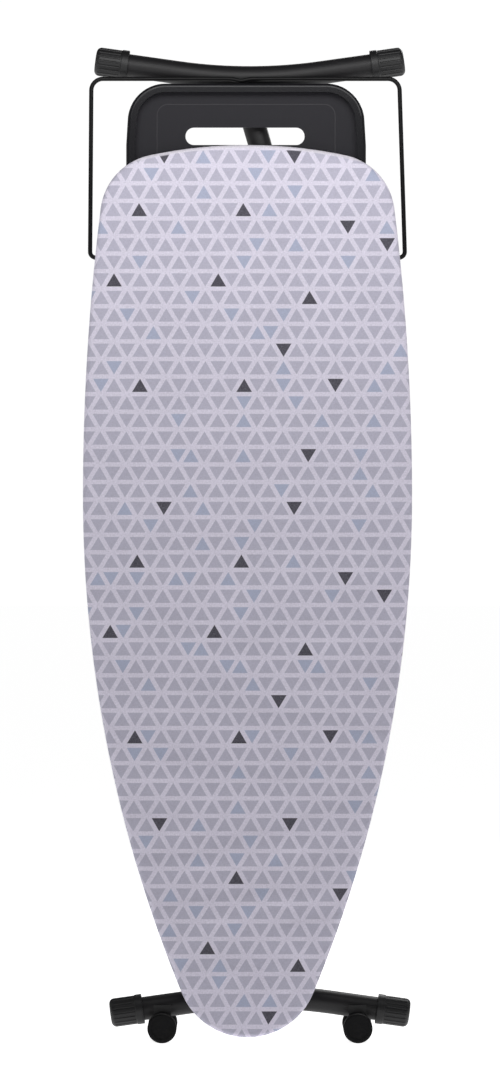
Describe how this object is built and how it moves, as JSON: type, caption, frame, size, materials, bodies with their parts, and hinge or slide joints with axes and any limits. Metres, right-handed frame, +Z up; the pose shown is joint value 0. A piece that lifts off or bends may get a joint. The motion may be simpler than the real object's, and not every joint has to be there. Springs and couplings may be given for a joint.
{
  "type": "ironing board",
  "caption": "Folding ironing board with scissor legs, padded printed cover, moulded iron rest, wire hanger rail and rollers for standing folded on its nose end.",
  "frame": {"origin": "on the floor under the middle of the folded board's box, which stands on the rollers at its nose end", "axes": "+X across the board, +Y from the cover to the underside, +Z up along the board from nose to heel"},
  "size_m": [0.45, 0.088, 1.3654],
  "materials": {
    "printed_cotton": "printed plain-weave cotton",
    "felt": "needled felt",
    "grey_coated_steel": "satin grey powder coat",
    "black_coated_steel": "satin black powder coat",
    "zinc_plated_steel": "bright zinc plate",
    "spring_steel": "drawn spring wire",
    "black_moulding": "fine grain moulding with a glossy rim",
    "matte_black_plastic": "matt moulded plastic",
    "white_nylon": "natural nylon",
    "roller_rubber": "matt moulded rubber"
  },
  "bodies": {
    "board": {"cover": "printed_cotton", "underlay_pad": "felt", "mesh_top": "grey_coated_steel", "rim_frame": "grey_coated_steel", "channel_left": "grey_coated_steel", "channel_right": "grey_coated_steel", "nose_crossbar": "grey_coated_steel", "heel_crossbar": "grey_coated_steel", "height_rack": "zinc_plated_steel", "pivot_bush_left": "white_nylon", "pivot_bush_right": "white_nylon", "iron_rest": "black_moulding", "iron_rest_straps": "black_coated_steel", "iron_rest_screws": "zinc_plated_steel", "rail_clip_left": "matte_black_plastic", "rail_clip_right": "matte_black_plastic", "clip_screws": "zinc_plated_steel"},
    "fixed_leg": {"fixed_leg_tube": "black_coated_steel", "fixed_leg_foot_tube": "black_coated_steel", "fixed_leg_foot_cap_left": "matte_black_plastic", "fixed_leg_foot_cap_right": "matte_black_plastic", "fixed_leg_head": "matte_black_plastic", "pivot_rod": "zinc_plated_steel", "cross_bolt": "zinc_plated_steel", "cross_nut": "zinc_plated_steel", "cross_washers": "zinc_plated_steel", "cross_spacer": "white_nylon"},
    "sliding_leg": {"sliding_leg_tube": "black_coated_steel", "sliding_leg_foot_tube": "black_coated_steel", "sliding_leg_foot_cap_left": "matte_black_plastic", "sliding_leg_foot_cap_right": "matte_black_plastic", "sliding_leg_head": "matte_black_plastic", "slide_rod": "zinc_plated_steel", "roller_bracket_left": "matte_black_plastic", "roller_bracket_right": "matte_black_plastic"},
    "slide_shoes": {"slide_shoe_left": "white_nylon", "slide_shoe_right": "white_nylon"},
    "release_lever": {"pawl": "zinc_plated_steel", "lever_arm": "black_coated_steel", "lever_grip": "matte_black_plastic", "lever_spring": "spring_steel"},
    "hanger_rail": {"hanger_rail": "black_coated_steel"},
    "rollers_left": {"roller_axle_left": "zinc_plated_steel", "front_roller_left": "roller_rubber", "rear_roller_left": "roller_rubber"},
    "rollers_right": {"roller_axle_right": "zinc_plated_steel", "front_roller_right": "roller_rubber", "rear_roller_right": "roller_rubber"}
  },
  "joints": [
    {"name": "leg_fold", "type": "hinge", "parent": "board", "child": "fixed_leg", "pos_m": [0, -0.0244, 0.291], "axis": [-1, 0, 0], "range_deg": [0, 60]},
    {"name": "leg_cross", "type": "hinge", "parent": "fixed_leg", "child": "sliding_leg", "pos_m": [0, 0.001, 0.69148], "axis": [1, 0, 0], "range_deg": [0, 120]},
    {"name": "shoe_turn", "type": "hinge", "parent": "sliding_leg", "child": "slide_shoes", "pos_m": [0, -0.0244, 1.09195], "axis": [-1, 0, 0], "range_deg": [0, 60]},
    {"name": "lever_release", "type": "hinge", "parent": "slide_shoes", "child": "release_lever", "pos_m": [0, -0.0244, 1.09195], "axis": [1, 0, 0], "range_deg": [0, 12], "stiffness_Nm_per_rad": 0.6, "springref_deg": -34.38},
    {"name": "rail_swing", "type": "hinge", "parent": "board", "child": "hanger_rail", "pos_m": [0, -0.023, 1.075], "axis": [1, 0, 0], "range_deg": [0, 95]},
    {"name": "roller_turn_left", "type": "hinge", "parent": "sliding_leg", "child": "rollers_left", "pos_m": [-0.117, 0.001, 0.02], "axis": [0, 1, 0], "continuous": true},
    {"name": "roller_turn_right", "type": "hinge", "parent": "sliding_leg", "child": "rollers_right", "pos_m": [0.151, 0.001, 0.02], "axis": [0, 1, 0], "continuous": true}
  ],
  "couplings": [
    {"joint": "leg_cross", "follows": "leg_fold", "ratio": 2},
    {"joint": "shoe_turn", "follows": "leg_fold", "ratio": 1}
  ]
}
